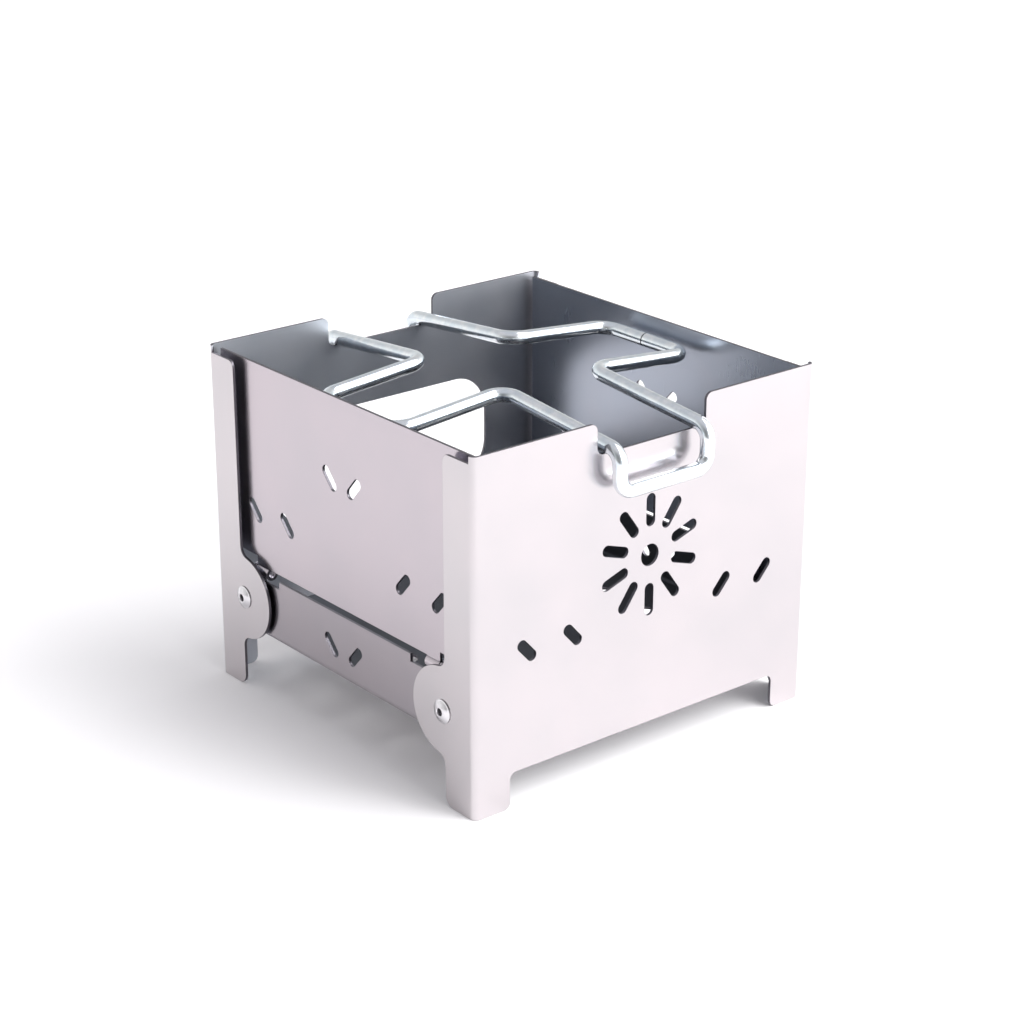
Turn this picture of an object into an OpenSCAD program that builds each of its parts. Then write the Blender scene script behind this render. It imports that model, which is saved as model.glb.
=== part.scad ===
// Folding twig stove: two riveted end walls, a base tray, two hinged side panels and a wire pot support.
// Millimetres, +Z up. X runs across the front wall, the front wall faces -Y, the feet stand on Z = 0.

/* [Overall] */
// Width over the outer faces of the wall flanges
body_w = 116; // [104:1:150]
// Depth over the outer faces of the front and rear walls
body_d = 116; // [104:1:150]
// Height from the feet to the top edge of the walls
body_h = 98; // [85:1:130]
// Thickness of the stainless sheet
sheet = 0.8; // [0.6:0.1:1.2]
// Inside radius of the sheet bends
bend_r = 1; // [0.5:0.1:2]

/* [Front and rear walls] */
// Width of each side flange, measured from the outer face of the wall
flange_w = 12; // [8:0.5:16]
// How far the flange stops below the top edge
flange_drop = 2; // [0:0.5:6]
// Radius of the lower free corner of the flange
foot_r = 3; // [1:0.5:5]
// Width of each leg across the front
leg_w = 11.5; // [7:0.5:18]
// Clear height under the wall between its legs
leg_h = 10; // [5:0.5:14]
// Radius of the small corners of the legs and of the top notch
corner_r = 2; // [0.5:0.5:4]
// Width of the notch that the pot support hooks over
notch_w = 37; // [34:0.2:50]
// Depth of that notch
notch_depth = 8.5; // [6:0.5:12]

/* [Pivot ears] */
// Distance from the outer face of the wall to the rivet
pivot_set = 13; // [12:0.25:15]
// Radius of the ear round the rivet
ear_r = 12.2; // [9:0.1:15]
// Radius of the hollow between the ear and the flange above it
ear_hollow_r = 3; // [1:0.5:8]
// Radius of the hollow between the ear and the leg below it
leg_hollow_r = 3; // [1:0.5:8]

/* [Air slots] */
// Length of one slanted air slot
slot_l = 7.6; // [5:0.2:10]
// Width of one slanted air slot
slot_w = 3; // [2:0.1:4]
// Slant of the slots from upright, the upper ends leaning away from the middle
slot_slant = 42; // [0:1:60]
// Height of the four slots of the front wall
front_slot_z = 42.8; // [36:0.2:50]
// Distance of the inner slots from the middle of the wall
inner_slot_x = 26; // [23:0.1:30]
// Distance of the outer slots from the middle of the wall
outer_slot_x = 41.1; // [37:0.1:46]
// Half the spacing of the two slots in the middle of a side
middle_slot_y = 5.4; // [4:0.1:8]
// Height of the middle slots of the side panel
upper_slot_z = 73.8; // [62:0.2:80]
// Height of the outer slots of the side panel
lower_slot_z = 54; // [46:0.2:60]
// Height of the slots of the tray wall
tray_slot_z = 26.4; // [23:0.2:30]

/* [Front rosette] */
// Number of radial slots in the rosette
rosette_n = 10; // [6:1:12]
// Outer radius of the rosette
rosette_r = 17; // [13:0.5:20]
// Radius at which the radial slots start
rosette_in = 8; // [7:0.5:10]
// Width of a radial slot
rosette_slot_w = 3; // [2:0.1:3.4]
// Diameter of the hole in the middle
rosette_hole_d = 6; // [3:0.5:8]
// Height of the middle of the rosette
rosette_z = 58; // [55:0.5:66]

/* [Feed opening in the rear wall] */
// Width of the feed opening
feed_w = 76; // [50:0.2:88]
// Height of its lower edge
feed_z = 38; // [34:0.5:46]
// Height of its upper edge
feed_top = 70.2; // [64:0.2:78]
// Corner radius of the feed opening
feed_r = 11.5; // [4:0.5:15]

/* [Base tray] */
// Height of the underside of the tray floor
tray_z = 17.5; // [16:0.25:18]
// Height of the tray walls, from that underside
tray_h = 18.8; // [18.5:0.1:21]
// Gap between the flange and the tray wall, which the rivet washer takes up
ear_gap = 0.8; // [0.7:0.1:2]
// Distance from the rivets to the raised middle of the tray wall
mid_set = 15.3; // [14:0.1:18]
// Pitch of the holes in the tray floor
floor_pitch = 18; // [12:0.5:20]
// Number of holes in each row and column
floor_n = 5; // [3:1:5]
// Diameter of the holes in the tray floor
floor_hole_d = 7; // [3:0.5:9]
// Height at which the hinge lug leaves the tray wall
lug_z = 31; // [30.5:0.1:31.5]

/* [Side panels] */
// Step from the tray wall's outer face back to the side panel's outer face
panel_step = 0.8; // [0.6:0.1:1.2]
// Gap between the tray wall and the lower edge of the panel
panel_gap = 1.7; // [1.5:0.1:3]
// How far the panel stops below the top edge of the walls
panel_drop = 1; // [0:0.5:4]
// Gap between the panel and each end wall
panel_end_gap = 1.7; // [1:0.1:4]
// Height of the relief in the lower corners, from the lower edge
relief_h = 2.5; // [1:0.5:6]

/* [Side hinges] */
// Diameter of the hinge pin
pin_d = 2; // [1.5:0.1:2.4]
// Length of a rolled knuckle
knuckle_l = 5.5; // [5:0.5:7]
// Distance of the knuckle from the raised middle of the tray wall
knuckle_gap = 6; // [4:0.1:7]
// How far the pin reaches into the knuckle
pin_reach = 4.5; // [3:0.1:5.2]
// Diameter of the pin's head
pin_head_d = 3; // [2.6:0.1:3.2]
// Thickness of the pin's head
pin_head_h = 0.8; // [0.5:0.1:1]
// Width of the open seam of the rolled knuckle
seam_w = 0.35; // [0.2:0.05:0.6]

/* [Rivets] */
// Diameter of the rivet's shank
rivet_d = 3.2; // [2.4:0.1:4]
// Diameter of the rivet's domed head
rivet_head_d = 6.5; // [5:0.1:8]
// Height of the rivet's domed head
rivet_head_h = 1.2; // [0.8:0.1:2]
// Diameter of the set end inside the tray
rivet_tail_d = 4.8; // [4.2:0.1:5.6]
// Length of the set end
rivet_tail_l = 3; // [2:0.1:4]
// Diameter of the broken mandrel left in the rivet
mandrel_d = 2; // [1.2:0.1:2]
// Depth of the mandrel below the top of the head
mandrel_sink = 1.6; // [0.2:0.1:2]
// Diameter of the mandrel's head in the set end
mandrel_head_d = 3; // [2.4:0.1:4]
// Length of the mandrel's head
mandrel_head_l = 1.2; // [0.8:0.1:2]
// Diameter of the spacing washer
washer_d = 7; // [5:0.1:9]

/* [Pot support] */
// Diameter of the wire
wire_d = 4; // [3:0.1:5]
// Half the width of the arms that run front to rear
arm_x = 14.9; // [10:0.1:15.5]
// Half the width of the arms that run left to right
arm_y = 16.9; // [12:0.1:22]
// Downward slope of every arm, in degrees
arm_slope = 5; // [0:0.5:8]
// Gap between the end of a side arm and the side panel
arm_end_gap = 2.6; // [2:0.1:8]
// Gap between a hook and the face of the wall
hook_gap = 2.6; // [1:0.1:4]
// How far the axis of the hook's cross rod lies below the notch
hook_drop = 9.5; // [9:0.5:14]
// Bend radius of the corners, on the wire's axis
wire_bend_r = 5.5; // [4:0.5:7]
// Bend radius of the hooks, on the wire's axis
hook_bend_r = 4; // [3.5:0.25:4.5]
// Gap between the two ends of the wire
butt_gap = 0.4; // [0.2:0.1:1]

/* [Clearances] */
// Radial clearance of a turning fit
turn_fit = 0.06; // [0.03:0.01:0.1]
// Radial clearance of a fixed fit
fixed_fit = 0.02; // [0.01:0.01:0.05]
// Axial play of the wall between rivet head and washer
play = 0.3; // [0.15:0.05:0.5]
// Clearance of parts that swing past each other
swing_gap = 0.3; // [0.2:0.05:0.5]
// Gap under the wire where it lies in the notch
rest_gap = 0.05; // [0.02:0.01:0.1]

/* [Hidden] */
$fn = 64;

bright_steel = "#ECEAEC";
side_steel = "#CFC9CF";
tray_steel = "#A9A7AB";
rivet_steel = "#D8D6DA";
wire_steel = "#C4C8D0";
eps = 0.01;
over = 1;

half_w = body_w / 2;
half_d = body_d / 2;
bend_out = bend_r + sheet;

// Tray and side hinge: the pin's axis is level with the top of the tray wall, flush knuckles
tray_out = half_w - sheet - ear_gap;
tray_in = tray_out - sheet;
tray_top = tray_z + tray_h;
knuckle_r = pin_d / 2 + turn_fit + sheet;
hinge_x = tray_out - knuckle_r;
hinge_z = tray_top;
tray_end_top = hinge_z - knuckle_r - swing_gap;
mid_y = half_d - pivot_set - mid_set;
knuckle_y = mid_y + knuckle_gap;
lug_y = knuckle_y + knuckle_l + swing_gap;
lug_end = lug_y + sheet;

// Side panel
panel_out = tray_out - panel_step;
panel_in = panel_out - sheet;
panel_z = tray_top + panel_gap;
panel_top = body_h - panel_drop;
panel_half = half_d - sheet - panel_end_gap;

// Wall pivots: high enough for a wall turned level to clear the side hinges, the rear one a sheet higher
pivot_y = half_d - pivot_set;
wall_reach = pivot_set - sheet;
front_pivot_z = hinge_z + knuckle_r + swing_gap - wall_reach;
rear_pivot_z = front_pivot_z + sheet + swing_gap;
swing_r = wall_reach - swing_gap;

// Rivet, measured outwards from the outer face of the ear
stack = sheet + ear_gap + sheet;
washer_t = ear_gap - play;

// Pot support
wire_r = wire_d / 2;
notch_z = body_h - notch_depth;
arm_fall = tan(arm_slope);
cross_z = notch_z + wire_r / cos(arm_slope) + rest_gap + (half_d - arm_y) * arm_fall;
arm_end_x = panel_in - arm_end_gap - wire_r;
arm_end_z = cross_z - (arm_end_x - arm_x) * arm_fall;
hook_y = half_d + hook_gap + wire_r;
hook_top_z = cross_z - (hook_y - arm_y) * arm_fall;
hook_z = notch_z - hook_drop;
bend_swell = 0.01;
wire_lap = 0.2;

function unit(v) = v / norm(v);
// Level reach of a circle of radius r at a height z from its middle
function reach_at(r, z) = sqrt(max(r * r - z * z, 0));

// Extrusions of an outline drawn in the Y, Z or the X, Z plane
module along_x(from, length) {
    translate([from, 0, 0]) rotate([90, 0, 90]) linear_extrude(length) children();
}
module along_y(from, length) {
    translate([0, from + length, 0]) rotate([90, 0, 0]) linear_extrude(length) children();
}

// Upright stadium about the origin
module stadium(length, width) {
    square([width, length - width], center = true);
    for (side = [-1, 1]) translate([0, side * (length - width) / 2]) circle(d = width);
}
// Rectangle with rounded corners, from its lower left corner
module rounded(size, r) {
    translate([r, 0]) square([size[0] - 2 * r, size[1]]);
    translate([0, r]) square([size[0], size[1] - 2 * r]);
    for (u = [r, size[0] - r], v = [r, size[1] - r]) translate([u, v]) circle(r);
}
// What a fillet of radius r takes off a corner that lies at the origin, the solid being at +x and +y
module corner_waste(r) {
    difference() {
        translate([-over, -over]) square(r + over);
        translate([r, r]) circle(r);
        translate([r, -2 * over]) square(r + 4 * over);
    }
}
// Slanted air slots at [across, height]
module air_slots(places) {
    for (p = places) translate(p) rotate(p[0] < 0 ? slot_slant : -slot_slant) stadium(slot_l, slot_w);
}

// Hollow fillet between the straight edge of a flange and the round ear
module ear_hollow(pivot_z, r, up) {
    rise = sqrt(pow(ear_r + r, 2) - pow(flange_w + r - pivot_set, 2));
    centre = [flange_w + r, pivot_z + up * rise];
    difference() {
        polygon([[flange_w - over, centre[1]], centre, [pivot_set, pivot_z], [flange_w - over, pivot_z]]);
        translate(centre) circle(r);
    }
}
// Side view of a wall: edge of the web, flange, leg and round ear, drawn from the outer face inwards
module wall_profile(pivot_z) {
    across = 2 * body_w;
    along_x(-body_w, across) square([bend_out, body_h]);
    along_x(-body_w, across) difference() {
        square([flange_w, body_h - flange_drop]);
        translate([flange_w, 0]) mirror([1, 0]) corner_waste(foot_r);
        translate([flange_w, body_h - flange_drop]) rotate(180) corner_waste(corner_r);
    }
    along_x(-body_w, across) translate([pivot_set, pivot_z]) circle(ear_r);
    along_x(-body_w, across) ear_hollow(pivot_z, ear_hollow_r, 1);
    along_x(-body_w, across) ear_hollow(pivot_z, leg_hollow_r, -1);
}
// Plan of a wall: web, two bends and two flanges long enough for the ears
module wall_plan(length) {
    difference() {
        translate([-half_w, 0]) rounded([body_w, length + 2 * bend_out], bend_out);
        translate([sheet - half_w, sheet]) rounded([body_w - 2 * sheet, length + 2 * bend_out], bend_r);
        translate([-body_w, length]) square([2 * body_w, body_d]);
    }
}
// Front view of what is cut from every wall: the gap between the legs and the top notch
module wall_cuts() {
    gap_w = body_w - 2 * leg_w;
    translate([-gap_w / 2, -leg_h]) rounded([gap_w, 2 * leg_h], corner_r);
    translate([-notch_w / 2, notch_z]) rounded([notch_w, 2 * notch_depth], corner_r);
    for (side = [0, 1]) mirror([side, 0]) {
        translate([gap_w / 2, 0]) corner_waste(corner_r);
        translate([notch_w / 2, body_h]) mirror([0, 1]) corner_waste(corner_r);
    }
}
// One wall with its outer face on Y = 0, reaching inwards along +Y
module wall(pivot_z) {
    ear_reach = pivot_set + ear_r;
    difference() {
        intersection() {
            linear_extrude(body_h) wall_plan(ear_reach + over);
            wall_profile(pivot_z);
        }
        along_y(-over, bend_out + 2 * over) wall_cuts();
        translate([0, pivot_set, pivot_z]) rotate([0, 90, 0])
            cylinder(d = rivet_d + 2 * turn_fit, h = 2 * body_w, center = true);
    }
}

module rosette() {
    slot = rosette_r - rosette_in;
    circle(d = rosette_hole_d);
    for (i = [0 : rosette_n - 1]) rotate(i * 360 / rosette_n)
        translate([0, rosette_in + slot / 2]) stadium(slot, rosette_slot_w);
}

module front_wall() {
    across = [-outer_slot_x, -inner_slot_x, inner_slot_x, outer_slot_x];
    color(bright_steel) translate([0, -half_d, 0]) difference() {
        wall(front_pivot_z);
        along_y(-over, sheet + 2 * over) {
            air_slots([for (x = across) [x, front_slot_z]]);
            translate([0, rosette_z]) rosette();
        }
    }
}

module rear_wall() {
    color(bright_steel) translate([0, half_d, 0]) mirror([0, 1, 0]) difference() {
        wall(rear_pivot_z);
        along_y(-over, sheet + 2 * over) translate([-feed_w / 2, feed_z])
            rounded([feed_w, feed_top - feed_z], feed_r);
    }
}

// Cross-section of the tray: floor and two walls with rounded bends
module tray_section() {
    difference() {
        translate([-tray_out, tray_z]) rounded([2 * tray_out, 2 * tray_h], bend_out);
        translate([-tray_in, tray_z + sheet]) rounded([2 * tray_in, 2 * tray_h], bend_r);
        translate([-body_w, tray_top]) square([2 * body_w, 2 * tray_h]);
    }
}
// What is cut from the top of the tray walls beside the raised middle, and past the lugs
module tray_wall_cuts() {
    for (side = [0, 1]) mirror([side, 0]) {
        translate([mid_y, tray_end_top]) square([body_d, tray_h]);
        translate([lug_end - eps, lug_z - swing_gap]) square([body_d, tray_h]);
    }
}
// Lug turned inwards at the end of a tray wall, which holds the hinge pin
module hinge_lug() {
    along_y(lug_y, sheet) difference() {
        union() {
            translate([hinge_x - knuckle_r, lug_z]) square([2 * knuckle_r, hinge_z - lug_z]);
            translate([hinge_x, hinge_z]) circle(knuckle_r);
        }
        translate([hinge_x, hinge_z]) circle(d = pin_d + 2 * fixed_fit);
    }
}

module base_tray() {
    holes = [for (i = [0 : floor_n - 1]) (i - (floor_n - 1) / 2) * floor_pitch];
    floor_front = pivot_y + reach_at(swing_r, front_pivot_z - tray_z);
    floor_rear = pivot_y + reach_at(swing_r, rear_pivot_z - tray_z);
    floor_half = tray_out - bend_out;
    pivots = [[-pivot_y, front_pivot_z], [pivot_y, rear_pivot_z]];
    color(tray_steel) {
        difference() {
            union() {
                along_y(-pivot_y, 2 * pivot_y) tray_section();
                translate([-floor_half, -floor_front, tray_z])
                    cube([2 * floor_half, floor_front + floor_rear, sheet]);
                for (p = pivots) for (side = [-tray_out, tray_in]) translate([side, p[0], p[1]])
                    rotate([0, 90, 0]) cylinder(r = p[1] - tray_z, h = sheet);
            }
            along_x(-body_w, 2 * body_w) {
                tray_wall_cuts();
                air_slots([[-middle_slot_y, tray_slot_z], [middle_slot_y, tray_slot_z]]);
            }
            for (p = pivots) translate([0, p[0], p[1]]) rotate([0, 90, 0])
                cylinder(d = rivet_d + 2 * fixed_fit, h = 2 * body_w, center = true);
            for (x = holes, y = holes) translate([x, y, tray_z - over])
                cylinder(d = floor_hole_d, h = sheet + 2 * over);
        }
        for (left = [0, 1], front = [0, 1]) mirror([left, 0, 0]) mirror([0, front, 0]) hinge_lug();
    }
}

// Side view of the side panel, with its lower edge carried down to the knuckles
module panel_outline() {
    difference() {
        translate([-panel_half, panel_z]) square([2 * panel_half, panel_top - panel_z]);
        for (side = [0, 1]) mirror([side, 0])
            translate([knuckle_y + knuckle_l, panel_z - over]) square([body_d, relief_h + over]);
        air_slots([[-middle_slot_y, upper_slot_z], [middle_slot_y, upper_slot_z]]);
        air_slots([for (y = [-outer_slot_x, -inner_slot_x, inner_slot_x, outer_slot_x]) [y, lower_slot_z]]);
    }
}
// Rolled knuckle in section, in the X, Z plane of the right panel
module knuckle_section() {
    difference() {
        union() {
            translate([hinge_x, hinge_z]) circle(knuckle_r);
            translate([panel_in, hinge_z]) square([sheet, panel_z + over - hinge_z]);
        }
        translate([hinge_x, hinge_z]) circle(d = pin_d + 2 * turn_fit);
        translate([panel_in - seam_w, hinge_z]) square([seam_w, 2 * knuckle_r]);
    }
}
module right_panel() {
    along_x(panel_in, sheet) panel_outline();
    for (front = [0, 1]) mirror([0, front, 0]) along_y(knuckle_y, knuckle_l) knuckle_section();
}

module right_side_panel() {
    color(side_steel) right_panel();
}
module left_side_panel() {
    color(side_steel) mirror([1, 0, 0]) right_panel();
}

// Headed pin: pressed in the lug, with the knuckle turning on it
module hinge_pin(side, end) {
    pin_l = sheet + swing_gap + pin_reach;
    color(rivet_steel) translate([side * hinge_x, end * lug_end, hinge_z]) rotate([-end * 90, 0, 0]) {
        cylinder(d = pin_head_d, h = pin_head_h);
        translate([0, 0, -pin_l]) cylinder(d = pin_d, h = pin_l + eps);
    }
}

// Places a rivet piece so that +Z points outwards and Z = 0 is the outer face of the ear
module at_rivet(side, end) {
    pivot_z = end < 0 ? front_pivot_z : rear_pivot_z;
    translate([side * half_w, end * pivot_y, pivot_z]) rotate([0, side * 90, 0]) children();
}
module rivet(side, end) {
    dome_r = (pow(rivet_head_d / 2, 2) + pow(rivet_head_h, 2)) / (2 * rivet_head_h);
    color(rivet_steel) at_rivet(side, end) difference() {
        union() {
            intersection() {
                translate([0, 0, play / 2]) cylinder(d = rivet_head_d, h = rivet_head_h);
                translate([0, 0, play / 2 + rivet_head_h - dome_r]) sphere(dome_r);
            }
            translate([0, 0, -stack]) cylinder(d = rivet_d, h = stack + play / 2 + eps);
            translate([0, 0, -stack - rivet_tail_l]) cylinder(d = rivet_tail_d, h = rivet_tail_l);
        }
        translate([0, 0, -stack - rivet_tail_l - over])
            cylinder(d = mandrel_d + 2 * fixed_fit, h = stack + rivet_tail_l + rivet_head_h + 3 * over);
    }
}
module mandrel(side, end) {
    top = play / 2 + rivet_head_h - mandrel_sink;
    foot = -stack - rivet_tail_l;
    color(tray_steel) at_rivet(side, end) {
        translate([0, 0, foot - eps]) cylinder(d = mandrel_d, h = top - foot + eps);
        translate([0, 0, foot - mandrel_head_l]) cylinder(d = mandrel_head_d, h = mandrel_head_l);
    }
}
module washer(side, end) {
    color(rivet_steel) at_rivet(side, end) translate([0, 0, -sheet - ear_gap]) difference() {
        cylinder(d = washer_d, h = washer_t);
        translate([0, 0, -over]) cylinder(d = rivet_d + 2 * turn_fit, h = washer_t + 2 * over);
    }
}

// Straight length of wire between two bends, let a little way into each
module wire_run(from, to) {
    along = unit(to - from);
    turn = acos(along[2]);
    translate(from - along * wire_lap) rotate([0, turn, atan2(along[1], along[0])])
        cylinder(r = wire_r, h = norm(to - from) + 2 * wire_lap);
}
// Round bend of the wire at a corner, from one direction to the next, a trace thicker than the run
module wire_bend(corner, before, after, r) {
    turn = acos(before * after);
    side = unit(cross(cross(before, after), before));
    centre = corner - before * r * tan(turn / 2) + side * r;
    axis = cross(before, side);
    multmatrix([
        [-side[0], before[0], axis[0], centre[0]],
        [-side[1], before[1], axis[1], centre[1]],
        [-side[2], before[2], axis[2], centre[2]]
    ]) rotate_extrude(angle = turn) translate([r, 0]) circle(wire_r + bend_swell);
}

module pot_support() {
    // Corners of the closed cross, each with its bend radius, from the end of the right arm all round
    quarter = [
        [[arm_end_x, arm_y, arm_end_z], wire_bend_r],
        [[arm_x, arm_y, cross_z], wire_bend_r],
        [[arm_x, hook_y, hook_top_z], hook_bend_r],
        [[arm_x, hook_y, hook_z], hook_bend_r]
    ];
    flip = function (q, fx, fy) [for (c = q) [[c[0][0] * fx, c[0][1] * fy, c[0][2]], c[1]]];
    back = function (q) [for (i = [len(q) - 1 : -1 : 0]) q[i]];
    path = concat(quarter, back(flip(quarter, -1, 1)), flip(quarter, -1, -1), back(flip(quarter, 1, -1)));
    n = len(path);
    at = [for (c = path) c[0]];
    dir = [for (i = [0 : n - 1]) unit(at[(i + 1) % n] - at[i])];
    cut = [for (i = [0 : n - 1]) path[i][1] * tan(acos(dir[(i + n - 1) % n] * dir[i]) / 2)];
    ends = at[n - 1] + (at[0] - at[n - 1]) / 2;
    color(wire_steel) {
        for (i = [0 : n - 1]) wire_bend(at[i], dir[(i + n - 1) % n], dir[i], path[i][1]);
        for (i = [0 : n - 2]) wire_run(at[i] + dir[i] * cut[i], at[i + 1] - dir[i] * cut[i + 1]);
        wire_run(at[n - 1] + dir[n - 1] * cut[n - 1], ends - dir[n - 1] * (butt_gap / 2 + wire_lap));
        wire_run(ends + dir[n - 1] * (butt_gap / 2 + wire_lap), at[0] - dir[n - 1] * cut[0]);
    }
}

base_tray();
front_wall();
rear_wall();
left_side_panel();
right_side_panel();
pot_support();
rivet(-1, -1);  // front_left_rivet
rivet(1, -1);  // front_right_rivet
rivet(-1, 1);  // rear_left_rivet
rivet(1, 1);  // rear_right_rivet
mandrel(-1, -1);  // front_left_mandrel
mandrel(1, -1);  // front_right_mandrel
mandrel(-1, 1);  // rear_left_mandrel
mandrel(1, 1);  // rear_right_mandrel
washer(-1, -1);  // front_left_washer
washer(1, -1);  // front_right_washer
washer(-1, 1);  // rear_left_washer
washer(1, 1);  // rear_right_washer
hinge_pin(-1, -1);  // front_left_hinge_pin
hinge_pin(1, -1);  // front_right_hinge_pin
hinge_pin(-1, 1);  // rear_left_hinge_pin
hinge_pin(1, 1);  // rear_right_hinge_pin
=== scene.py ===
import math

import bmesh
import bpy
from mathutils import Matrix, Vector
from mathutils.bvhtree import BVHTree


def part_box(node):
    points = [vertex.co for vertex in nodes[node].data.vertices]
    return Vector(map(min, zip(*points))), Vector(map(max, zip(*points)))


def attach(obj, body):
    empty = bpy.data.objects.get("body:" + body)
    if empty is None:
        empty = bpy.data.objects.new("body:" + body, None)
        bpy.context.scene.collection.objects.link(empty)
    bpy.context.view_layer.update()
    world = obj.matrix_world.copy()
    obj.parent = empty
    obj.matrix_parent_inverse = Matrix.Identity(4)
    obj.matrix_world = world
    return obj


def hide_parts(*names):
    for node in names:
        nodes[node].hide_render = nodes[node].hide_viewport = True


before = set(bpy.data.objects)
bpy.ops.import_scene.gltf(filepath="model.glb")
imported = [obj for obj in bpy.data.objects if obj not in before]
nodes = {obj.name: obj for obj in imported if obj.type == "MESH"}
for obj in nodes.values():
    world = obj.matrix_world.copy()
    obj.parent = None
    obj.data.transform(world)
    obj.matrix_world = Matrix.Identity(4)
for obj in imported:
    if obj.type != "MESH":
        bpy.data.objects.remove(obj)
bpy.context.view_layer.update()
scene = bpy.context.scene
scene.view_settings.view_transform = "Standard"
mm = 0.001
print("frame loaded:", len(nodes), "nodes")


def hexColour(code):  # sRGB hex to linear
    parts = [int(code[i:i + 2], 16) / 255 for i in (1, 3, 5)]
    return tuple(c / 12.92 if c <= 0.04045 else ((c + 0.055) / 1.055) ** 2.4 for c in parts) + (1,)


def addNode(tree, kind, settings, inputs):  # a socket given as an input is linked, any other value is set
    node = tree.nodes.new(kind)
    for key, value in settings.items():
        setattr(node, key, value)
    for key, value in inputs.items():
        if isinstance(value, bpy.types.NodeSocket):
            tree.links.new(value, node.inputs[key])
        else:
            node.inputs[key].default_value = value
    return node


def newFinish(name):
    finish = bpy.data.materials.new(name)
    finish.use_nodes = True
    finish.node_tree.nodes.clear()
    return finish, finish.node_tree


def closeFinish(tree, shader):
    addNode(tree, "ShaderNodeOutputMaterial", {}, {"Surface": shader.outputs[0]})


# Cold-rolled stainless sheet, pickled 2B finish: a pale satin metal whose soft reflections are a little
# cloudy, with a faint lay along the rolling direction. The real grain is about 0.02 mm and is drawn coarser,
# so that it shows.
def rolledStainless(name, look):
    finish, tree = newFinish(name)
    place = addNode(tree, "ShaderNodeTexCoord", {}, {}).outputs["Object"]
    cloud = addNode(tree, "ShaderNodeTexNoise", {}, {
        "Vector": place, "Scale": 1 / (look["cloudSize"] * mm), "Detail": 3.0, "Roughness": 0.55})
    lay = addNode(tree, "ShaderNodeMapping", {}, {
        "Vector": place, "Scale": [1 / (s * mm) for s in look["laySize"]]})
    streak = addNode(tree, "ShaderNodeTexNoise", {}, {
        "Vector": lay.outputs[0], "Scale": 1.0, "Detail": 4.0, "Roughness": 0.6})
    grain = addNode(tree, "ShaderNodeTexNoise", {}, {
        "Vector": place, "Scale": 1 / (look["grainSize"] * mm), "Detail": 2.0})
    low, high = look["cloudSpan"]
    tone = addNode(tree, "ShaderNodeValToRGB", {}, {"Fac": cloud.outputs["Fac"]})
    cool, warm = tone.color_ramp.elements
    cool.position, cool.color = low, hexColour(look["coolTone"])
    warm.position, warm.color = high, hexColour(look["warmTone"])
    blur = addNode(tree, "ShaderNodeMapRange", {}, {
        "Value": cloud.outputs["Fac"], "From Min": low, "From Max": high,
        "To Min": look["roughness"] - look["smudge"], "To Max": look["roughness"] + look["smudge"]})
    mixed = addNode(tree, "ShaderNodeMath", {"operation": "MULTIPLY_ADD"}, {
        0: streak.outputs["Fac"], 1: look["streakDepth"], 2: blur.outputs[0]})
    bump = addNode(tree, "ShaderNodeBump", {}, {
        "Height": grain.outputs["Fac"], "Strength": look["bump"], "Distance": look["bumpDepth"] * mm})
    closeFinish(tree, addNode(tree, "ShaderNodeBsdfPrincipled", {}, {
        "Base Color": tone.outputs[0], "Metallic": 1.0, "Roughness": mixed.outputs[0],
        "Normal": bump.outputs[0]}))
    return finish


wallLook = {"coolTone": "#C7C3C5", "warmTone": "#CDC7C9", "roughness": 0.19, "smudge": 0.03,
            "streakDepth": 0.04, "cloudSize": 24, "cloudSpan": (0.3, 0.7), "laySize": (0.5, 0.5, 22),
            "grainSize": 0.5, "bump": 0.1, "bumpDepth": 0.002}
# painted shade: the side panels are a darker copy of the walls' rolled sheet, standing in for the shade they
# take
panelLook = {**wallLook, "coolTone": "#BEB7BC", "warmTone": "#C4BBC0", "laySize": (0.5, 20, 0.5)}
# painted shade: the tray is a darker copy of the same rolled sheet, standing in for the shade close to the
# floor
trayLook = {**wallLook, "coolTone": "#A5A0A5", "warmTone": "#ABA4A8", "laySize": (0.5, 20, 0.5)}
# painted shade: the inside faces are a darker, bluish copy of the same sheet, standing in for the shade
# inside the chamber
innerLook = {**wallLook, "coolTone": "#ABB2BE", "warmTone": "#B3B7C1", "roughness": 0.27}
# painted shade: the rear wall's inside is a bluish copy of the same sheet, a little darker than the walls,
# for the shade inside the chamber
rearLook = {**wallLook, "coolTone": "#BCC1C9", "warmTone": "#C4C6CC", "roughness": 0.385}
emberLook = {**wallLook, "coolTone": "#505257", "warmTone": "#595A5E", "roughness": 0.6}  # painted shade: dark grey standing in for the shade inside the tray


# Laser-cut edge of the sheet: greyer and duller than the face from the cut's oxide, and darkened further as
# painted shade so that the edges read as dark outlines, with ridges left by the cut, drawn a little coarser
# than the real 0.2 mm.
def laserCutEdge(name, look):
    finish, tree = newFinish(name)
    place = addNode(tree, "ShaderNodeTexCoord", {}, {}).outputs["Object"]
    ridge = addNode(tree, "ShaderNodeTexNoise", {}, {
        "Vector": place, "Scale": 1 / (look["ridgeSize"] * mm), "Detail": 2.0})
    tone = addNode(tree, "ShaderNodeValToRGB", {}, {"Fac": ridge.outputs["Fac"]})
    dark, pale = tone.color_ramp.elements
    dark.color, pale.color = hexColour(look["darkTone"]), hexColour(look["paleTone"])
    bump = addNode(tree, "ShaderNodeBump", {}, {
        "Height": ridge.outputs["Fac"], "Strength": look["bump"], "Distance": look["ridgeDepth"] * mm})
    closeFinish(tree, addNode(tree, "ShaderNodeBsdfPrincipled", {}, {
        "Base Color": tone.outputs[0], "Metallic": 1.0, "Roughness": look["roughness"],
        "Normal": bump.outputs[0]}))
    return finish


# oxide and painted shade: dark tones for the cut edges and their small rounds
edgeLook = {"darkTone": "#4F4D53", "paleTone": "#7F7C82", "roughness": 0.42, "ridgeSize": 0.35,
            "ridgeDepth": 0.03, "bump": 0.4}


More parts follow.
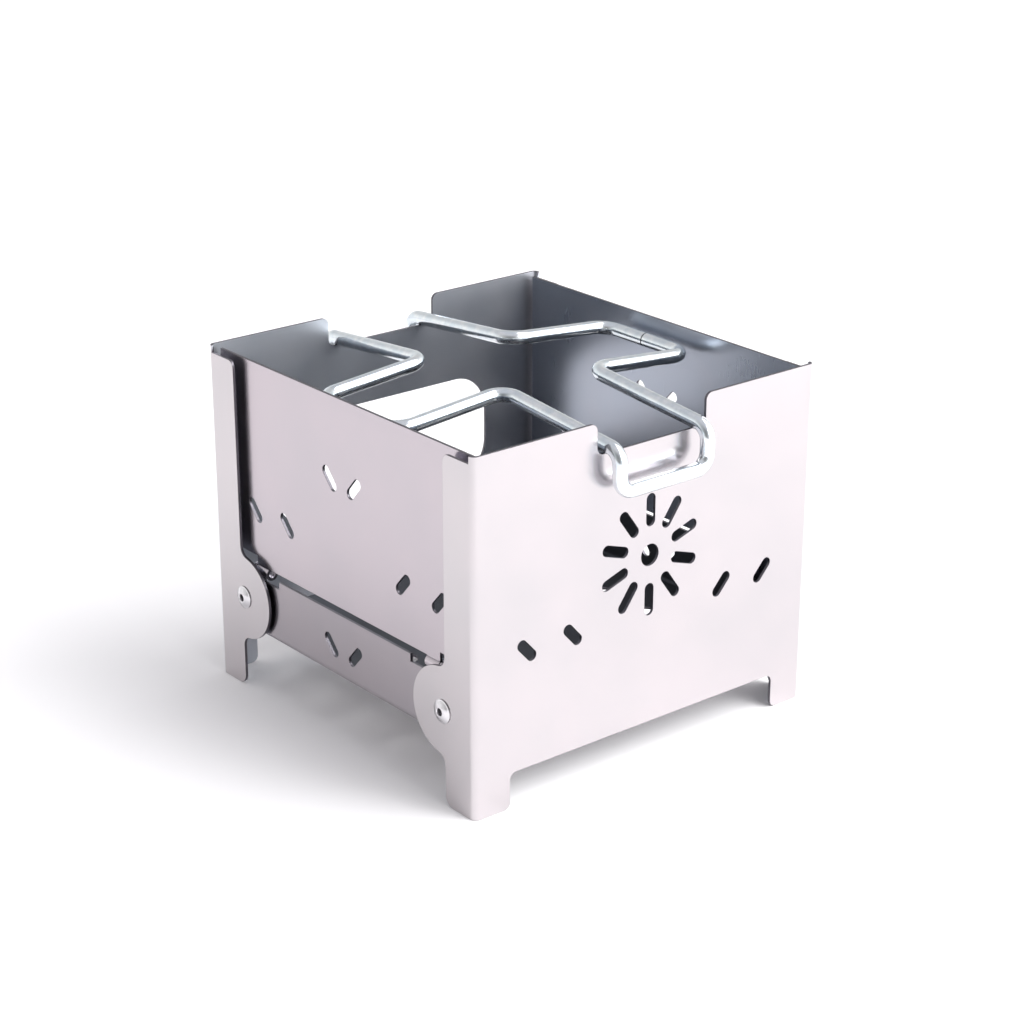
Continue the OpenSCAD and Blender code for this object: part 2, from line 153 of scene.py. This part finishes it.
# Zinc-plated drawn wire: bright and bluish, with a soft lengthwise draw and a faint mottle in the plating.
def zincPlatedWire(name, look):
    finish, tree = newFinish(name)
    along = addNode(tree, "ShaderNodeAttribute", {"attribute_name": "alongWire"}, {}).outputs["Fac"]
    around = addNode(tree, "ShaderNodeAttribute", {"attribute_name": "aroundWire"}, {}).outputs["Fac"]
    place = addNode(tree, "ShaderNodeTexCoord", {}, {}).outputs["Object"]
    lengthwise = addNode(tree, "ShaderNodeMath", {"operation": "DIVIDE"}, {
        0: along, 1: look["drawLength"] * mm})
    crosswise = addNode(tree, "ShaderNodeMath", {"operation": "DIVIDE"}, {
        0: around, 1: look["drawWidth"] * mm})
    drawn = addNode(tree, "ShaderNodeCombineXYZ", {}, {"X": lengthwise.outputs[0], "Y": crosswise.outputs[0]})
    streak = addNode(tree, "ShaderNodeTexNoise", {}, {
        "Vector": drawn.outputs[0], "Scale": 1.0, "Detail": 3.0})
    mottle = addNode(tree, "ShaderNodeTexNoise", {}, {
        "Vector": place, "Scale": 1 / (look["mottleSize"] * mm), "Detail": 3.0})
    tone = addNode(tree, "ShaderNodeValToRGB", {}, {"Fac": mottle.outputs["Fac"]})
    blue, pale = tone.color_ramp.elements
    blue.position, pale.position = look["mottleSpan"]
    blue.color, pale.color = hexColour(look["blueTone"]), hexColour(look["paleTone"])
    blur = addNode(tree, "ShaderNodeMath", {"operation": "MULTIPLY_ADD"}, {
        0: mottle.outputs["Fac"], 1: look["mottleDepth"], 2: look["roughness"]})
    bump = addNode(tree, "ShaderNodeBump", {}, {
        "Height": streak.outputs["Fac"], "Strength": look["bump"], "Distance": look["drawDepth"] * mm})
    closeFinish(tree, addNode(tree, "ShaderNodeBsdfPrincipled", {}, {
        "Base Color": tone.outputs[0], "Metallic": 1.0, "Roughness": blur.outputs[0],
        "Normal": bump.outputs[0]}))
    return finish


wireLook = {"blueTone": "#DFE8EE", "paleTone": "#F0F4F6", "roughness": 0.13, "mottleDepth": 0.08,
            "mottleSize": 3, "mottleSpan": (0.35, 0.65), "drawLength": 14, "drawWidth": 0.5,
            "drawDepth": 0.03, "bump": 0.2}


# Turned stainless: bright, with fine rings from the tool that show only as a slight blur.
def turnedStainless(name, look):
    finish, tree = newFinish(name)
    place = addNode(tree, "ShaderNodeTexCoord", {}, {}).outputs["Object"]
    mark = addNode(tree, "ShaderNodeTexNoise", {}, {
        "Vector": place, "Scale": 1 / (look["markSize"] * mm), "Detail": 3.0})
    tone = addNode(tree, "ShaderNodeValToRGB", {}, {"Fac": mark.outputs["Fac"]})
    dark, pale = tone.color_ramp.elements
    dark.color, pale.color = hexColour(look["darkTone"]), hexColour(look["paleTone"])
    blur = addNode(tree, "ShaderNodeMath", {"operation": "MULTIPLY_ADD"}, {
        0: mark.outputs["Fac"], 1: look["markBlur"], 2: look["roughness"]})
    bump = addNode(tree, "ShaderNodeBump", {}, {
        "Height": mark.outputs["Fac"], "Strength": look["bump"], "Distance": look["markDepth"] * mm})
    closeFinish(tree, addNode(tree, "ShaderNodeBsdfPrincipled", {}, {
        "Base Color": tone.outputs[0], "Metallic": 1.0, "Roughness": blur.outputs[0],
        "Normal": bump.outputs[0]}))
    return finish


rivetLook = {"darkTone": "#CFCDD1", "paleTone": "#EAE8EA", "roughness": 0.16, "markSize": 0.6,
             "markDepth": 0.02, "markBlur": 0.12, "bump": 0.25}
pinLook = {**rivetLook, "darkTone": "#A9A8AD", "paleTone": "#C9C8CC", "roughness": 0.24, "markSize": 0.5}
# steel darker than the rivet, and darkened further as painted shade for the dark bore
mandrelLook = {**rivetLook, "darkTone": "#333236", "paleTone": "#4E4D51", "roughness": 0.38, "markSize": 0.4,
               "markDepth": 0.05}

wallSteel = rolledStainless("rolledStainlessWalls", wallLook)
panelSteel = rolledStainless("rolledStainlessSides", panelLook)
traySteel = rolledStainless("rolledStainlessTray", trayLook)
innerSteel = rolledStainless("rolledStainlessInside", innerLook)
rearSteel = rolledStainless("rolledStainlessRearInside", rearLook)
emberSteel = rolledStainless("dulledStainlessTrayInside", emberLook)
cutEdge = laserCutEdge("laserCutSheetEdge", edgeLook)
wireZinc = zincPlatedWire("zincPlatedWire", wireLook)
rivetSteel = turnedStainless("polishedRivetSteel", rivetLook)
pinSteel = turnedStainless("drawnPinSteel", pinLook)
mandrelSteel = turnedStainless("brokenMandrelSteel", mandrelLook)
print("finishes made")


def plainPiece(name, mesh):
    piece = bpy.data.objects.new(name, mesh)
    scene.collection.objects.link(piece)
    return piece


def settle(piece):  # modifiers become plain mesh
    seen = piece.evaluated_get(bpy.context.evaluated_depsgraph_get())
    mesh = bpy.data.meshes.new_from_object(seen)
    mesh.name = piece.name
    piece.modifiers.clear()
    piece.data = mesh
    return piece


# Each bent sheet is the solid's own shape with its cut edges broken by a small round, as tumbled sheet has.
# The tray's edges are rolled rounder and take the paler wall finish, a painted highlight beside the tray's
# darker,
# shaded copy. Finishes: outside, cut edge, inside (a darker copy, painted shade) and, on the tray, the
# painted-highlight edge; an edge's finish is its place in that row.
sheetEdge = {"steps": 2, "reach": 1.0, "probe": 0.01, "weld": 0.001, "flatAngle": 0.3, "sharpAngle": 40,
             "chamberMiddle": 40}
keenEdge = {"round": 0.14, "finish": 1}
# painted highlight: the tray's rounded edges take finish 3, the paler wall steel
softEdge = {"round": 0.34, "finish": 3}
frontFinishes = (wallSteel, cutEdge, innerSteel)
rearFinishes = (wallSteel, cutEdge, rearSteel)
sideFinishes = (panelSteel, cutEdge, innerSteel)
trayFinishes = (traySteel, cutEdge, emberSteel, wallSteel)
sheetPieces = {
    "front_wall": ("frontWallSheet", "front_wall", frontFinishes, keenEdge, "wall_steel"),
    "rear_wall": ("rearWallSheet", "rear_wall", rearFinishes, keenEdge, "wall_steel"),
    "left_side_panel": ("leftPanelSheet", "left_side", sideFinishes, keenEdge, "panel_steel"),
    "right_side_panel": ("rightPanelSheet", "right_side", sideFinishes, keenEdge, "panel_steel"),
    "base_tray": ("baseTraySheet", "tray", trayFinishes, softEdge, "tray_steel"),
}


def bentSheet(nodeName, pieceName, body, finishes, edge, slotName):
    shape = bmesh.new()
    shape.from_mesh(nodes[nodeName].data)
    bmesh.ops.remove_doubles(shape, verts=shape.verts, dist=sheetEdge["weld"] * mm)
    shape.normal_update()
    tree = BVHTree.FromBMesh(shape)
    heart = Vector((0, 0, sheetEdge["chamberMiddle"] * mm))
    for face in shape.faces:  # a cut edge, unless the other side of the sheet lies close behind it
        middle = face.calc_center_median()
        depth = tree.ray_cast(middle - face.normal * sheetEdge["probe"] * mm, -face.normal)[3]
        broad = depth is not None and depth < sheetEdge["reach"] * mm
        inward = face.normal.dot(middle - heart) < 0
        # inward faces take the inside finish, a darker copy of the sheet painted as shade
        face.material_index = (2 if inward else 0) if broad else 1
        face.smooth = True
    bmesh.ops.dissolve_limit(shape, angle_limit=math.radians(sheetEdge["flatAngle"]), verts=shape.verts,
                             edges=shape.edges, delimit={"MATERIAL"})
    mesh = bpy.data.meshes.new(pieceName)
    shape.to_mesh(mesh)
    shape.free()
    for finish in finishes:
        mesh.materials.append(finish)
    piece = plainPiece(pieceName, mesh)
    rounding = piece.modifiers.new("edgeRound", "BEVEL")
    rounding.limit_method, rounding.angle_limit = "ANGLE", math.radians(sheetEdge["sharpAngle"])
    rounding.width, rounding.segments = edge["round"] * mm, sheetEdge["steps"]
    rounding.material = edge["finish"]
    rounding.use_clamp_overlap = True
    piece.modifiers.new("flatFaces", "WEIGHTED_NORMAL")
    settle(piece)
    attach(piece, body)
    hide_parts(nodeName)
    return piece


for nodeName, row in sheetPieces.items():
    sheet = bentSheet(nodeName, *row)
    print("sheet", sheet.name, len(sheet.data.polygons), "faces")


# The pot support is one wire bent to a closed cross, swept along its corners.
potWire = {"wire": 4.0, "armX": 14.9, "armY": 16.9, "slope": 5.0, "cornerBend": 5.5, "hookBend": 4.0,
           "buttGap": 0.4, "bendSteps": 14, "roundSteps": 28}


def wirePath():
    low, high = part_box("pot_support")
    radius = potWire["wire"] / 2
    fall = math.tan(math.radians(potWire["slope"]))
    endX, hookY, hookZ = high.x / mm - radius, high.y / mm - radius, low.z / mm + radius
    crossZ = high.z / mm - radius / math.cos(math.radians(potWire["slope"]))
    quarter = [
        ((endX, potWire["armY"], crossZ - (endX - potWire["armX"]) * fall), potWire["cornerBend"]),
        ((potWire["armX"], potWire["armY"], crossZ), potWire["cornerBend"]),
        ((potWire["armX"], hookY, crossZ - (hookY - potWire["armY"]) * fall), potWire["hookBend"]),
        ((potWire["armX"], hookY, hookZ), potWire["hookBend"]),
    ]
    turned = lambda fx, fy: [((p[0] * fx, p[1] * fy, p[2]), r) for p, r in quarter]
    loop = quarter + turned(-1, 1)[::-1] + turned(-1, -1) + turned(1, -1)[::-1]
    gap = potWire["buttGap"] / 2
    armEnd = quarter[0][0]
    return [((armEnd[0], gap, armEnd[2]), 0)] + loop + [((armEnd[0], -gap, armEnd[2]), 0)]


def groupInput(tree, name, kind):
    return tree.interface.new_socket(name=name, in_out="INPUT", socket_type=kind).identifier


def wireTree():
    tree = bpy.data.node_groups.new("bentWire", "GeometryNodeTree")
    keys = {"shape": groupInput(tree, "Corners", "NodeSocketGeometry"),
            "radius": groupInput(tree, "Wire radius", "NodeSocketFloat"),
            "bendSteps": groupInput(tree, "Steps in a bend", "NodeSocketInt"),
            "roundSteps": groupInput(tree, "Steps round the wire", "NodeSocketInt"),
            "finish": groupInput(tree, "Finish", "NodeSocketMaterial")}
    tree.interface.new_socket(name="Wire", in_out="OUTPUT", socket_type="NodeSocketGeometry")
    given = addNode(tree, "NodeGroupInput", {}, {}).outputs
    path = addNode(tree, "GeometryNodeMeshToCurve", {}, {"Mesh": given["Corners"]})
    bend = addNode(tree, "GeometryNodeInputNamedAttribute", {"data_type": "FLOAT"}, {"Name": "bendRadius"})
    rounded = addNode(tree, "GeometryNodeFilletCurve", {"mode": "POLY"}, {
        "Curve": path.outputs[0], "Radius": bend.outputs[0], "Count": given["Steps in a bend"]})
    length = addNode(tree, "GeometryNodeSplineParameter", {}, {})
    marked = addNode(tree, "GeometryNodeStoreNamedAttribute", {"data_type": "FLOAT", "domain": "POINT"}, {
        "Geometry": rounded.outputs[0], "Name": "alongWire", "Value": length.outputs["Length"]})
    ring = addNode(tree, "GeometryNodeCurvePrimitiveCircle", {}, {
        "Resolution": given["Steps round the wire"], "Radius": given["Wire radius"]})
    turn = addNode(tree, "GeometryNodeStoreNamedAttribute", {"data_type": "FLOAT", "domain": "POINT"}, {
        "Geometry": ring.outputs[0], "Name": "aroundWire", "Value": length.outputs["Length"]})
    swept = addNode(tree, "GeometryNodeCurveToMesh", {}, {
        "Curve": marked.outputs[0], "Profile Curve": turn.outputs[0], "Fill Caps": True})
    whole = addNode(tree, "GeometryNodeRealizeInstances", {}, {"Geometry": swept.outputs[0]})
    dressed = addNode(tree, "GeometryNodeSetMaterial", {}, {
        "Geometry": whole.outputs[0], "Material": given["Finish"]})
    addNode(tree, "NodeGroupOutput", {}, {"Wire": dressed.outputs[0]})
    return tree, keys


def bentWire():
    path = wirePath()
    mesh = bpy.data.meshes.new("potSupportWire")
    mesh.from_pydata([Vector(p) * mm for p, r in path], [(i, i + 1) for i in range(len(path) - 1)], [])
    mesh.attributes.new("bendRadius", "FLOAT", "POINT").data.foreach_set("value", [r * mm for p, r in path])
    piece = plainPiece("potSupportWire", mesh)
    tree, keys = wireTree()
    sweep = piece.modifiers.new("sweep", "NODES")
    sweep.node_group = tree
    for key, value in (("radius", potWire["wire"] / 2 * mm), ("bendSteps", potWire["bendSteps"]),
                       ("roundSteps", potWire["roundSteps"]), ("finish", wireZinc)):
        sweep[keys[key]] = value
    settle(piece)
    for face in piece.data.polygons:
        face.use_smooth = len(face.vertices) == 4
    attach(piece, "pot_support")
    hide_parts("pot_support")
    return piece


wire = bentWire()
print("wire swept:", len(wire.data.polygons), "faces")


# Blind rivets: a lathed body with a soft rim and a countersunk bore, set at the four pivots.
rivetShape = {"head": 6.5, "headHeight": 1.2, "rim": [(0.135, 0.0), (0.0, 0.105), (0.02, 0.24)],
              "domeInset": 0.25, "domeSteps": 8, "shank": 3.2, "bore": 2.04, "boreRound": 0.25,
              "boreLip": (0.07, 0.04), "tail": 4.8, "tailLength": 3.0, "tailRound": 0.5, "tailNeck": 0.6,
              "tailShoulder": 0.25, "steps": 48, "weld": 0.0001}
pivotNodes = ["front_left_rivet", "front_right_rivet", "rear_left_rivet", "rear_right_rivet"]


def rivetProfile(length):  # (radius, height) from the tail to the head, height 0 at the back of the head
    r = rivetShape
    head, rise, bore, tail = r["head"] / 2, r["headHeight"], r["bore"] / 2, r["tail"] / 2
    ball = (head * head + rise * rise) / (2 * rise)
    rim = [(head - inset, height) for inset, height in r["rim"]]
    outer, inner = head - r["domeInset"], bore + r["boreRound"]
    dome = []
    for step in range(r["domeSteps"] + 1):
        radius = outer + (inner - outer) * step / r["domeSteps"]
        dome.append((radius, rise - ball + math.sqrt(ball * ball - radius * radius)))
    top = dome[-1][1]
    lipWide, lipDeep = r["boreLip"]
    mouth = [(bore + lipWide, top - lipDeep), (bore, top - r["boreRound"])]
    end = -length - r["tailLength"]
    setEnd = [(bore, end), (tail - r["tailRound"], end), (tail, end + r["tailRound"]),
              (tail, -length - r["tailNeck"]), (tail - r["tailShoulder"], -length),
              (r["shank"] / 2, -length), (r["shank"] / 2, 0.0)]
    return setEnd + rim + dome + mouth


def lathedRivet(name, length):
    shape = bmesh.new()
    line = [shape.verts.new((radius * mm, 0, height * mm)) for radius, height in rivetProfile(length)]
    edges = [shape.edges.new((line[i], line[(i + 1) % len(line)])) for i in range(len(line))]
    bmesh.ops.spin(shape, geom=line + edges, cent=(0, 0, 0), axis=(0, 0, 1), angle=math.tau,
                   steps=rivetShape["steps"], use_duplicate=False)
    bmesh.ops.remove_doubles(shape, verts=shape.verts, dist=rivetShape["weld"] * mm)
    bmesh.ops.recalc_face_normals(shape, faces=shape.faces)
    mesh = bpy.data.meshes.new(name)
    shape.to_mesh(mesh)
    shape.free()
    return plainPiece(name, mesh)


def rivetTree():
    tree = bpy.data.node_groups.new("setRivets", "GeometryNodeTree")
    keys = {"points": groupInput(tree, "Pivots", "NodeSocketGeometry"),
            "rivet": groupInput(tree, "Rivet", "NodeSocketObject"),
            "finish": groupInput(tree, "Finish", "NodeSocketMaterial")}
    tree.interface.new_socket(name="Rivets", in_out="OUTPUT", socket_type="NodeSocketGeometry")
    given = addNode(tree, "NodeGroupInput", {}, {}).outputs
    body = addNode(tree, "GeometryNodeObjectInfo", {}, {"Object": given["Rivet"]})
    outward = addNode(tree, "GeometryNodeInputNamedAttribute", {"data_type": "FLOAT_VECTOR"}, {
        "Name": "outward"})
    turned = addNode(tree, "FunctionNodeAlignRotationToVector", {"axis": "Z"}, {
        "Vector": outward.outputs[0]})
    placed = addNode(tree, "GeometryNodeInstanceOnPoints", {}, {
        "Points": given["Pivots"], "Instance": body.outputs["Geometry"], "Rotation": turned.outputs[0]})
    whole = addNode(tree, "GeometryNodeRealizeInstances", {}, {"Geometry": placed.outputs[0]})
    dressed = addNode(tree, "GeometryNodeSetMaterial", {}, {
        "Geometry": whole.outputs[0], "Material": given["Finish"]})
    addNode(tree, "NodeGroupOutput", {}, {"Rivets": dressed.outputs[0]})
    return tree, keys


def setRivets(pieceName, end, tree, keys):
    names = [n for n in pivotNodes if n.startswith(end)]
    boxes = [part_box(n) for n in names]
    low, high = boxes[0]
    length = (high.x - low.x) / mm - rivetShape["headHeight"] - rivetShape["tailLength"]
    blank = lathedRivet(pieceName + "Blank", length)
    spots, facing = [], []
    for low, high in boxes:
        side = 1 if high.x + low.x > 0 else -1
        outer = high.x if side > 0 else low.x
        backOfHead = outer - side * rivetShape["headHeight"] * mm
        spots.append((backOfHead, (low.y + high.y) / 2, (low.z + high.z) / 2))
        facing.extend((side, 0, 0))
    mesh = bpy.data.meshes.new(pieceName)
    mesh.from_pydata(spots, [], [])
    mesh.attributes.new("outward", "FLOAT_VECTOR", "POINT").data.foreach_set("vector", facing)
    piece = plainPiece(pieceName, mesh)
    setting = piece.modifiers.new("setRivets", "NODES")
    setting.node_group = tree
    setting[keys["rivet"]] = blank
    setting[keys["finish"]] = rivetSteel
    settle(piece)
    bpy.data.objects.remove(blank)
    for face in piece.data.polygons:
        face.use_smooth = True
    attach(piece, "tray")
    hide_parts(*names)
    return piece


rivetNodes, rivetKeys = rivetTree()
for pieceName, end in (("frontRivets", "front"), ("rearRivets", "rear")):
    rivets = setRivets(pieceName, end, rivetNodes, rivetKeys)
    print("rivets", rivets.name, len(rivets.data.polygons), "faces")


def dress(names, finish):
    for name in names:
        nodes[name].data.materials.clear()
        nodes[name].data.materials.append(finish)


dress([n for n in nodes if n.endswith("_mandrel")], mandrelSteel)
dress([n for n in nodes if n.endswith("_washer")], pinSteel)
dress([n for n in nodes if n.endswith("_hinge_pin")], pinSteel)
print("small steel parts dressed")


# Camera at the photograph's place.
cameraSet = {"azimuth": -39.2, "elevation": 21.77, "distance": 675.8, "aim": (0, 0, 49), "lens": 86.01,
             "sensor": 36.0, "shift": (0.0042, 0.0103)}
turn, climb = math.radians(cameraSet["azimuth"]), math.radians(cameraSet["elevation"])
away = Vector((math.sin(turn) * math.cos(climb), -math.cos(turn) * math.cos(climb), math.sin(climb)))
camera = bpy.data.objects.new("camera", bpy.data.cameras.new("camera"))
scene.collection.objects.link(camera)
camera.location = (Vector(cameraSet["aim"]) + away * cameraSet["distance"]) * mm
camera.rotation_euler = (-away).to_track_quat("-Z", "Y").to_euler()
camera.data.lens, camera.data.sensor_width = cameraSet["lens"], cameraSet["sensor"]
camera.data.shift_x, camera.data.shift_y = cameraSet["shift"]
scene.camera = camera


# White paper sweep, three soft panels (front right, front and high on the right) and a white tent that is
# brightest at the front right. Lamps: place and size in metres, power in watts.
studio = {"floorSize": 12.0, "floorTone": "#F4F3F4", "floorDrop": 0.00005,
          "lampAim": (0, 0, 0.05),
          "lamps": [("keyPanel", (0.9, -1.2, 1.4), 1.4, 31.5), ("frontPanel", (0.3, -1.6, 1.0), 1.2, 16.0),
                    ("sidePanel", (1.15, -0.55, 2.3), 1.7, 13.0)],
          "tentWalls": [((0.62, -0.78, 0), 2.5), ((-0.62, 0.78, 0), 1.1), ((0.78, 0.62, 0), 0.8),
                        ((-0.78, -0.62, 0), 0.3)],
          "wallFade": 2.0, "tentTop": "#D4D3D8", "topFrom": 0.35, "topFull": 0.9, "floorGlow": 0.05}


def whiteSweep():
    finish, tree = newFinish("whitePaperSweep")
    paper = addNode(tree, "ShaderNodeBsdfDiffuse", {}, {"Color": hexColour(studio["floorTone"])})
    path = addNode(tree, "ShaderNodeLightPath", {}, {}).outputs
    seen = addNode(tree, "ShaderNodeMath", {"operation": "MAXIMUM"}, {
        0: path["Is Camera Ray"], 1: path["Is Glossy Ray"]})
    lift = addNode(tree, "ShaderNodeMath", {"operation": "MULTIPLY"}, {
        0: seen.outputs[0], 1: studio["floorGlow"]})
    glow = addNode(tree, "ShaderNodeEmission", {}, {"Strength": lift.outputs[0]})
    closeFinish(tree, addNode(tree, "ShaderNodeAddShader", {}, {0: paper.outputs[0], 1: glow.outputs[0]}))
    half = studio["floorSize"] / 2
    mesh = bpy.data.meshes.new("floor")
    corners = [(-half, -half), (half, -half), (half, half), (-half, half)]
    mesh.from_pydata([(x, y, -studio["floorDrop"]) for x, y in corners], [], [(0, 1, 2, 3)])
    mesh.materials.append(finish)
    return plainPiece("floor", mesh)


def studioTent():
    world = bpy.data.worlds.new("studioTent")
    world.use_nodes = True
    tree = world.node_tree
    tree.nodes.clear()
    way = addNode(tree, "ShaderNodeTexCoord", {}, {}).outputs["Generated"]
    walls = 0.0
    for facing, strength in studio["tentWalls"]:  # each wall fades with the cosine to its middle, squared
        dot = addNode(tree, "ShaderNodeVectorMath", {"operation": "DOT_PRODUCT"}, {0: way, 1: facing})
        front = addNode(tree, "ShaderNodeMath", {"operation": "MAXIMUM"}, {0: dot.outputs["Value"], 1: 0.0})
        fade = addNode(tree, "ShaderNodeMath", {"operation": "POWER"}, {
            0: front.outputs[0], 1: studio["wallFade"]})
        walls = addNode(tree, "ShaderNodeMath", {"operation": "MULTIPLY_ADD"}, {
            0: fade.outputs[0], 1: strength, 2: walls}).outputs[0]
    rise = addNode(tree, "ShaderNodeSeparateXYZ", {}, {"Vector": way}).outputs["Z"]
    above = addNode(tree, "ShaderNodeMapRange", {"interpolation_type": "SMOOTHSTEP"}, {
        "Value": rise, "From Min": studio["topFrom"], "From Max": studio["topFull"]})
    room = addNode(tree, "ShaderNodeMix", {"data_type": "RGBA"}, {
        0: above.outputs[0], 6: walls, 7: hexColour(studio["tentTop"])})
    glow = addNode(tree, "ShaderNodeBackground", {}, {"Color": room.outputs[2]})
    addNode(tree, "ShaderNodeOutputWorld", {}, {"Surface": glow.outputs[0]})
    return world


whiteSweep()
for name, spot, size, power in studio["lamps"]:
    lamp = bpy.data.lights.new(name, "AREA")
    lamp.size, lamp.energy = size, power
    holder = bpy.data.objects.new(name, lamp)
    scene.collection.objects.link(holder)
    holder.location = spot
    toStove = Vector(studio["lampAim"]) - Vector(spot)
    holder.rotation_euler = toStove.to_track_quat("-Z", "Y").to_euler()
scene.world = studioTent()
print("studio set")
